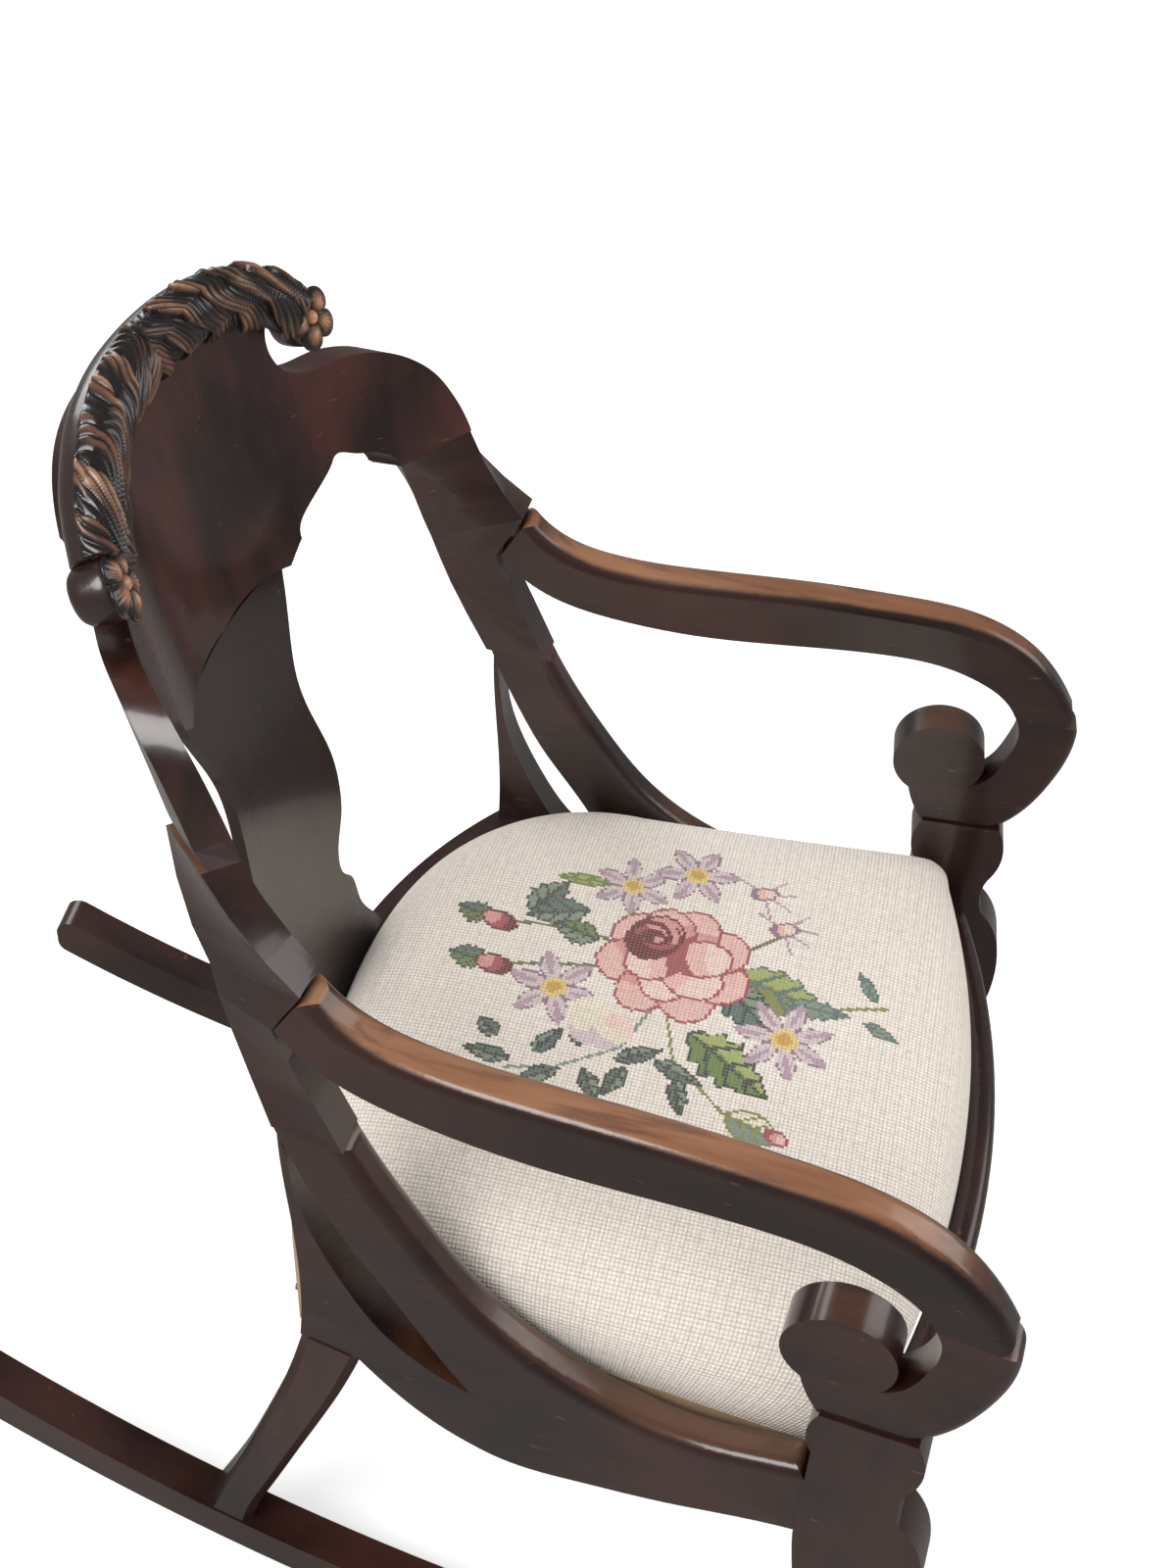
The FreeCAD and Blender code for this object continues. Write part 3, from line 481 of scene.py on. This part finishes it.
# Pairs of depth along the axis and radius, from the back to the front
BOSS_PROFILE = [(-25, 3), (-25, 12), (-24, 15), (-21, 17.5), (-15, 18.6), (-8, 19.2), (-2, 19.4),
                (0.5, 18.6), (2.4, 16), (2.8, 8)]
PETAL_PROFILE = [(0.4, 19), (1.5, PETAL_REACH), (3.0, PETAL_REACH)]
PETAL_PROFILE += [(3.2, r) for r in np.linspace(22, 6.5, 30)] + [(1.0, 5.5)]
BUTTON_PROFILE = [(0.5, 5.4)]
BUTTON_PROFILE += [(3.0 + 5.6 * sin(t), 5.5 * cos(t)) for t in np.linspace(0, pi / 2 - 0.05, 12)]
for side, hand in ((1, "left"), (-1, "right")):
    boss = turned(hand + "_boss", side, BOSS_PROFILE, colours=boss_colours)
    flower = turned(hand + "_petals", side, PETAL_PROFILE, petals, PETAL_COLUMNS, petal_colours)
    button = turned(hand + "_button", side, BUTTON_PROFILE, None, BUTTON_COLUMNS, button_colours)
    for piece in (boss, flower, button):
        piece.data.materials.append(carved)
        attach(piece, "chair_frame")
    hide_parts(hand + "_rosette")

# %% [markdown]
# ## The needlework seat
# Wool stitches on canvas cover a high, tight dome. The cloth is laid out flat as rows of
# stitches, one face each, and then wrapped: the distance from the middle of the seat is
# spent first over the dome and then down the steep sides, so stitches keep their size.

# %% Plan of the seat
STITCH = 2.3                   # from one stitch to the next
SEAT_MIDDLE = np.array([190.0, 0.0])
SCROLL_X, SPLAY, HALF_AT_SCROLL = 352.0, 0.09, 266.9    # half width and its slope along the seat
FRONT_X, FRONT_BOW, FRONT_HALF = 428.4, 38.0, 243.0
CORNER, CORNER_ROUND = (372.0, 248.0), (17.0, 19.5)
SIDE_FRONT_X, SIDE_BACK_X, BACK_X, BACK_POWER = 360.0, 118.0, -62.0, 0.82


def seat_plan():
    """Outline points of the left half, front to back: the bowed front, a rounded corner,
    a straight splayed side, and a round back."""
    front_y = np.linspace(0, FRONT_HALF, 40)
    front = np.stack([FRONT_X - (front_y / FRONT_HALF) ** 2 * FRONT_BOW, front_y], 1)
    t = np.linspace(0, pi / 2, 12)[1:]
    corner = np.stack([CORNER[0] + CORNER_ROUND[0] * np.cos(t), CORNER[1] + CORNER_ROUND[1] * np.sin(t)], 1)
    side_x = np.linspace(SIDE_FRONT_X, SIDE_BACK_X, 40)
    side = np.stack([side_x, HALF_AT_SCROLL + SPLAY * (side_x - SCROLL_X)], 1)
    t = np.linspace(0, pi / 2, 40)[1:]
    end = side[-1]
    back = np.stack([end[0] - (end[0] - BACK_X) * np.sin(t), end[1] * np.cos(t) ** BACK_POWER], 1)
    return np.vstack([front, corner, side, back])


plan = seat_plan()
plan_angle = np.arctan2(plan[:, 1], plan[:, 0] - SEAT_MIDDLE[0])
plan_reach = np.hypot(plan[:, 1], plan[:, 0] - SEAT_MIDDLE[0])
order = np.argsort(plan_angle)


def plan_radius(bearing):
    """Distance from the seat's middle to its outline, the same on both sides."""
    return np.interp(np.abs(bearing), plan_angle[order], plan_reach[order])


# %% Section of the dome
EDGE_STEPS = 160
# Pairs of inset and height, from the foot of the wall to where the dome begins
EDGE = np.array([(3.0, 378), (2.6, 400), (1.0, 415), (0.6, 430), (2.5, 445), (8.0, 458),
                 (17.0, 468), (31.0, 476), (52.0, 481.5), (88.0, 485.5)])
edge_curve = smooth_path(np.c_[EDGE, np.zeros(len(EDGE))], EDGE_STEPS)[0]
edge_length = path_length(edge_curve)
DOME_RISE = 3.5


def wrap(cloth):
    """Cloth coordinates to places in space. What is left of the wall's length after the
    cloth's distance from the middle gives the height and the inset on the edge's section;
    past its end the dome rises gently."""
    offset = cloth - SEAT_MIDDLE
    bearing, reach = np.arctan2(offset[..., 1], offset[..., 0]), np.hypot(offset[..., 0], offset[..., 1])
    limit = plan_radius(bearing)
    left_over = limit - edge_curve[-1, 0] + edge_length[-1] - reach
    on_dome = left_over > edge_length[-1]
    inset = np.interp(left_over, edge_length, edge_curve[:, 0])
    inset += np.maximum(left_over - edge_length[-1], 0)
    share = np.clip((limit - inset) / (limit - edge_curve[-1, 0]), 0, 1)
    z = np.interp(left_over, edge_length, edge_curve[:, 1]) + DOME_RISE * (1 - share ** 2) * on_dome
    radial = limit - inset
    x = SEAT_MIDDLE[0] + radial * np.cos(bearing)
    y = SEAT_MIDDLE[1] + radial * np.sin(bearing)
    return np.stack([x + SHIFT_X, y, z], -1) * MM, left_over


# %% Cloth laid out flat
CLOTH_LENGTH, CLOTH_WIDTH, CLOTH_MIDDLE_X = 760, 740, 180
rows, columns = int(CLOTH_LENGTH / STITCH), int(CLOTH_WIDTH / STITCH)
cloth_x = CLOTH_MIDDLE_X + (np.arange(rows + 1) - rows / 2) * STITCH
cloth_y = (np.arange(columns + 1) - columns / 2) * STITCH
cloth = np.stack(np.meshgrid(cloth_x, cloth_y, indexing="ij"), -1)
cloth_points, spare = wrap(cloth)
keep = spare[:-1, :-1] > 0
keep &= (spare[1:, 1:] > 0) & (spare[1:, :-1] > 0) & (spare[:-1, 1:] > 0)
stitch_x = cloth[:-1, :-1, 0] + STITCH / 2 + SHIFT_X
stitch_y = cloth[:-1, :-1, 1] + STITCH / 2

# %% [markdown]
# ## The bouquet
# A traditional bouquet, drawn by formula on the stitches: petals and leaves are ellipses
# and lobed circles with a few flat wools each, as a needlework chart has, with darker
# stitches along the outlines and folds.

# %% Wools and shapes
CREAM = (0.86, 0.785, 0.705)
WOOL = {
    "wine": (0.135, 0.012, 0.022), "rose": (0.36, 0.07, 0.09), "pink": (0.70, 0.31, 0.30),
    "blush": (0.82, 0.50, 0.45), "shell": (0.88, 0.65, 0.58), "mauve": (0.27, 0.17, 0.23),
    "lilac": (0.46, 0.33, 0.40), "pearl": (0.68, 0.56, 0.58), "gold": (0.62, 0.36, 0.06),
    "straw": (0.78, 0.58, 0.22), "fir": (0.028, 0.065, 0.048), "teal": (0.085, 0.165, 0.145),
    "sage": (0.21, 0.29, 0.22), "olive": (0.23, 0.25, 0.07), "moss": (0.13, 0.23, 0.055),
    "lime": (0.36, 0.43, 0.13), "stem": (0.13, 0.15, 0.075), "ivory": (0.84, 0.77, 0.60),
}
canvas = np.ones(stitch_x.shape + (3,)) * CREAM


def paint(mask, wool):
    """Work the stitches of a mask in one wool."""
    canvas[mask] = WOOL[wool]


def local(x, y, turn):
    """Coordinates about a point, with u along a direction given in degrees from +X."""
    c, s = cos(radians(turn)), sin(radians(turn))
    dx, dy = stitch_x - x, stitch_y - y
    return dx * c + dy * s, -dx * s + dy * c


def leaf(x, y, turn, length, width, wools=("fir", "teal", "sage"), teeth=0.12):
    """A pointed leaf: half width is width x sin(pi t) with toothed edges; dark on the rim and
    on slanting veins, light on one half."""
    u, v = local(x, y, turn)
    t = np.clip(u / length, 0, 1)
    half = width * np.sin(t ** 0.8 * pi) * (1 + teeth * np.sin(t * 34))
    inside = (np.abs(v) < half) & (u > 0) & (u < length)
    paint(inside, wools[1])
    paint(inside & (v > 0.15 * half), wools[2])
    paint(inside & (np.abs(v) > half - STITCH * 0.9), wools[0])
    paint(inside & (np.cos((u - np.abs(v) * 0.9) / length * 2 * pi * 4.2) > 0.72), wools[0])
    paint(inside & (np.abs(v) < STITCH * 0.55), wools[0])


def star(x, y, size, turn=0.0, count=6, wools=("mauve", "lilac", "pearl")):
    """A star flower: pointed petals round a golden heart."""
    dx, dy = stitch_x - x, stitch_y - y
    r, a = np.hypot(dx, dy), np.arctan2(dy, dx) - radians(turn)
    tip = np.abs(((a * count / (2 * pi)) % 1) - 0.5) * 2
    edge = size * (0.36 + 0.64 * (1 - tip) ** 0.75)
    inside = r < edge
    paint(inside, wools[2])
    paint(inside & (r > edge - STITCH * 1.1), wools[0])
    paint(inside & (tip > 0.78) & (r > size * 0.22), wools[0])
    paint(inside & (tip < 0.20) & (r > size * 0.35), wools[1])
    paint(r < size * 0.27, "straw")
    paint(r < size * 0.15, "gold")


def petal(x, y, turn, length, width, wools, fold=True):
    """A rounded petal: an ellipse, shaded from its root and lined at its rim."""
    u, v = local(x, y, turn)
    inside = (u / length) ** 2 + (v / width) ** 2 < 1
    paint(inside, wools[1])
    paint(inside & (u > 0.05 * length + 0.3 * np.abs(v)), wools[2])
    paint(inside & (u < -0.45 * length + 0.25 * np.abs(v)), wools[0])
    if fold:
        rim = (u / (length - STITCH)) ** 2 + (v / (width - STITCH)) ** 2 > 1
        paint(inside & rim, wools[0])


def stem(points, wool="stem", width=1.6):
    """A line of stitches: all within half a width of the segments between the points."""
    for (ax, ay), (bx, by) in zip(points[:-1], points[1:]):
        ux, uy = bx - ax, by - ay
        t = np.clip(((stitch_x - ax) * ux + (stitch_y - ay) * uy) / (ux * ux + uy * uy), 0, 1)
        paint(np.hypot(stitch_x - ax - t * ux, stitch_y - ay - t * uy) < width, wool)


# %% Leaves and sprigs
stem([(150, 60), (100, 68), (55, 66), (26, 62)])
stem([(140, 40), (90, 30), (35, 16)])
stem([(170, 30), (230, 20), (290, 42), (340, 60)], "olive")
stem([(185, 40), (230, 90), (262, 120)], "stem", 1.3)
stem([(170, 20), (150, -40), (105, -72), (72, -80)], "sage", 1.2)
stem([(175, 10), (190, -40), (235, -78)], "olive", 1.2)
leaf(62, 124, 3, 52, 7, ("moss", "lime", "lime"), 0.0)
leaf(50, 78, 62, 48, 15, ("fir", "teal", "sage"))
leaf(96, 92, 200, 52, 16, ("fir", "teal", "sage"))
leaf(110, 62, 165, 40, 13, ("fir", "moss", "sage"))
leaf(196, -10, -34, 84, 21, ("fir", "moss", "lime"), 0.16)
leaf(216, 58, -14, 84, 22, ("teal", "olive", "lime"), 0.10)
leaf(212, 46, -42, 62, 18, ("fir", "teal", "sage"))
leaf(262, 40, 2, 52, 10, ("teal", "sage", "sage"))
leaf(330, 62, 120, 34, 6, ("teal", "sage", "sage"), 0.0)
leaf(322, 40, -20, 34, 6, ("teal", "sage", "sage"), 0.0)
SPRIG = ((75, -72, 175, 40), (88, -62, 60, 34), (112, -70, 215, 38), (128, -66, -60, 34),
         (148, -52, 30, 40), (158, -56, 250, 34), (176, -44, -20, 44), (196, -56, -75, 36),
         (120, -48, 95, 26), (60, -54, 140, 26))
for x, y, turn, length in SPRIG:
    leaf(x, y, turn, length, 8, ("fir", "teal", "sage"), 0.0)

# %% Small flowers and buds
star(123, 129, 34, 10)
star(171, 158, 36, 40)
star(88, 5, 38, 20)
star(267, 4, 40, 0, 7, ("mauve", "lilac", "pearl"))
for x, y, turn in ((30, 62, 160), (38, 16, 170)):
    leaf(x - 6, y, turn, 34, 12, ("fir", "teal", "moss"))
    petal(x, y, turn, 16, 10, ("wine", "rose", "pink"))
for x, y in ((227, 152), (249, 116)):
    for turn in (-70, -30, 10, 50, 150):
        stem([(x, y), (x + 26 * cos(radians(turn)), y + 26 * sin(radians(turn)))], "lilac", 1.1)
    petal(x, y, 20, 12, 8, ("mauve", "blush", "shell"))
petal(122, -20, 100, 24, 17, ("pearl", "ivory", "ivory"), False)
petal(140, -26, 60, 20, 15, ("pearl", "ivory", "shell"), False)
leaf(236, -78, -18, 50, 15, ("olive", "sage", "ivory"), 0.0)
petal(276, -88, -20, 10, 7, ("rose", "pink", "blush"))

# %% The cabbage rose
ROSE = (172, 60)
OUTER = ((150, 34, 25, 26), (200, 38, 25, 24), (245, 39, 28, 22), (292, 38, 28, 24), (340, 36, 28, 25),
         (28, 34, 27, 24), (75, 32, 26, 22), (110, 30, 25, 22))
INNER = ((262, 20, 28, 22), (318, 20, 28, 24), (15, 20, 26, 20), (205, 18, 24, 20))
for ring_of_petals, wools in ((OUTER, ("rose", "pink", "blush")), (INNER, ("rose", "blush", "shell"))):
    for turn, away, length, width in ring_of_petals:
        petal(ROSE[0] + away * cos(radians(turn)), ROSE[1] + away * sin(radians(turn)), turn,
              length, width, wools)
heart = (ROSE[0] - 20, ROSE[1] + 18)
HEART_SIZE, HEART_EYE, SWIRL_PER_MM = 21, 9, 0.62
petal(*heart, 60, 27, HEART_SIZE, ("wine", "rose", "pink"))
dx, dy = stitch_x - heart[0], stitch_y - heart[1]
from_heart = np.hypot(dx, dy)
swirl = np.cos(from_heart * SWIRL_PER_MM - np.arctan2(dy, dx) * 2)
paint((from_heart < HEART_SIZE) & (swirl > 0.05), "wine")
paint(from_heart < HEART_EYE, "wine")
paint(np.hypot(dx - 3, dy + 2) < 3.5, "pink")

# %% Cloth with one face to a stitch
DYE_VARIATION = 0.05           # how much one stitch's shade differs from the next
rng = np.random.default_rng(7)
shade = 1 + rng.normal(0, DYE_VARIATION, stitch_x.shape)
canvas = np.clip(canvas * shade[..., None], 0, 1)
weave_uv = np.stack(np.meshgrid(np.arange(rows + 1), np.arange(columns + 1), indexing="ij"), -1)
cover = grid_object("needlework_seat", cloth_points[:, ::-1], uv=weave_uv[:, ::-1].astype(float),
                    keep=keep[:, ::-1], colours=canvas[:, ::-1][keep[:, ::-1]])


THREADS_PER_STITCH = 0.75      # the canvas is coarser than the wool that covers it
CANVAS_BROWN, SOIL = (0.31, 0.225, 0.18), (0.46, 0.38, 0.29)


def wool_cloth():
    """Each stitch is a small pad between dark canvas gaps. The height is a product of two
    sines over the UV map, once by stitches and once by the canvas's coarser threads, and
    the low places take the canvas colour."""
    wool = Finish("wool_needlework")
    paint_in = wool.node("ShaderNodeVertexColor", {"layer_name": "paint"})
    uv = wool.node("ShaderNodeUVMap", {"uv_map": "UVMap"})
    u, v = (wool.node("ShaderNodeSeparateXYZ", {}, [uv], part) for part in (0, 1))

    def hump(t):
        """The absolute sine: 0 on a line between stitches, 1 in the middle of one."""
        return (t * pi).maths("SINE").maths("ABSOLUTE")

    stitch = hump(u) * hump(v)
    thread = hump(u * THREADS_PER_STITCH) * hump(v * THREADS_PER_STITCH)
    height = thread * 0.75 + stitch * 0.25
    gap = 1 - (thread * 0.85 + stitch * 0.15).between(0.06, 0.50)
    fuzz = wool.noise(wool.place(), 900.0, 2.0)
    soil = wool.noise(wool.place(), 7.0, 4.0).between(0.35, 0.75)
    colour = wool.mix(gap * 0.55, paint_in, CANVAS_BROWN)
    colour = wool.mix(soil * 0.10, colour, SOIL)
    relief = wool.bump(height + fuzz * 0.25, 0.75, 0.0012)
    return wool.set(Base_Color=colour, Roughness=0.88, Normal=relief, Sheen_Weight=0.15)


cover.data.materials.append(wool_cloth())
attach(cover, "drop_in_seat")
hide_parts("needlework_cover", "seat_stuffing")
print("stitches", int(keep.sum()))

# %% [markdown]
# ## Room, light and camera
# A pale floor and a soft box on each side, as in a studio. The camera stands where the
# photograph's did: above the chair's right front, looking down at its back.

# %% Floor and light
FLOOR_HALF = 4.0
floor_mesh = bpy.data.meshes.new("floor")
corners = [(-FLOOR_HALF, -FLOOR_HALF, -0.0005), (FLOOR_HALF, -FLOOR_HALF, -0.0005),
           (FLOOR_HALF, FLOOR_HALF, -0.0005), (-FLOOR_HALF, FLOOR_HALF, -0.0005)]
floor_mesh.from_pydata(corners, [], [(0, 1, 2, 3)])
floor = bpy.data.objects.new("floor", floor_mesh)
bpy.context.scene.collection.objects.link(floor)
paper = Finish("white_paper")
to_camera = paper.node("ShaderNodeLightPath", output=0)
to_gloss = paper.node("ShaderNodeLightPath", output=3)
paper_colour = paper.mix(to_gloss, (0.86, 0.86, 0.86), (0.22, 0.21, 0.20))
paper_material = paper.set(Base_Color=paper_colour, Roughness=0.9,
                           Emission_Color=paper.mix(to_camera, (0.0, 0.0, 0.0), (0.34, 0.34, 0.34)),
                           Emission_Strength=1.0)
floor_mesh.materials.append(paper_material)

world = bpy.data.worlds.new("studio")
bpy.context.scene.world = world
world.use_nodes = True
sky = world.node_tree.nodes["Background"]
sky.inputs["Color"].default_value = (1.0, 1.0, 1.0, 1.0)
path = world.node_tree.nodes.new("ShaderNodeLightPath")
strength = world.node_tree.nodes.new("ShaderNodeMapRange")
strength.inputs["To Min"].default_value = 0.84
strength.inputs["To Max"].default_value = 0.19       # what polished wood mirrors
world.node_tree.links.new(path.outputs["Is Glossy Ray"], strength.inputs["Value"])
world.node_tree.links.new(strength.outputs["Result"], sky.inputs["Strength"])


def soft_box(name, place, target, size, power):
    """A square area lamp that looks at a target."""
    lamp = bpy.data.lights.new(name, "AREA")
    lamp.size, lamp.energy = size, power
    holder = bpy.data.objects.new(name, lamp)
    holder.location = place
    holder.rotation_euler = (Vector(target) - Vector(place)).to_track_quat("-Z", "Y").to_euler()
    bpy.context.scene.collection.objects.link(holder)


soft_box("key_box", (-0.9, -1.6, 2.6), (0, 0, 0.5), 1.3, 42)
soft_box("fill_box", (2.2, 0.9, 1.9), (0, 0, 0.6), 1.6, 16)
soft_box("rim_box", (-1.8, 1.6, 1.9), (0, 0, 0.6), 1.2, 16)

# %% Camera
CAMERA_AT = Vector((285 + SHIFT_X, -988, 1622)) * MM
CAMERA_AZIMUTH, CAMERA_ELEVATION, CHAIR_TILT = radians(13.4), radians(41.6), radians(4.0)
LENS, SENSOR = 45.5, 36.0      # the sensor's side lies along the picture's height
look = Vector((-sin(CAMERA_AZIMUTH) * cos(CAMERA_ELEVATION), cos(CAMERA_AZIMUTH) * cos(CAMERA_ELEVATION),
               -sin(CAMERA_ELEVATION)))
right = Vector((cos(CAMERA_AZIMUTH), sin(CAMERA_AZIMUTH), 0))
turn = Matrix.Rotation(-CHAIR_TILT, 3, "Y")
look, right = turn @ look, turn @ right
upwards = right.cross(look)
lens = bpy.data.cameras.new("photo_camera")
lens.lens, lens.sensor_width, lens.clip_end = LENS, SENSOR, 50.0
camera = bpy.data.objects.new("photo_camera", lens)
camera.matrix_world = Matrix((
    (right.x, upwards.x, -look.x, CAMERA_AT.x), (right.y, upwards.y, -look.y, CAMERA_AT.y),
    (right.z, upwards.z, -look.z, CAMERA_AT.z), (0, 0, 0, 1)))
bpy.context.scene.collection.objects.link(camera)
bpy.context.scene.camera = camera
bpy.context.scene.view_settings.view_transform = "Standard"
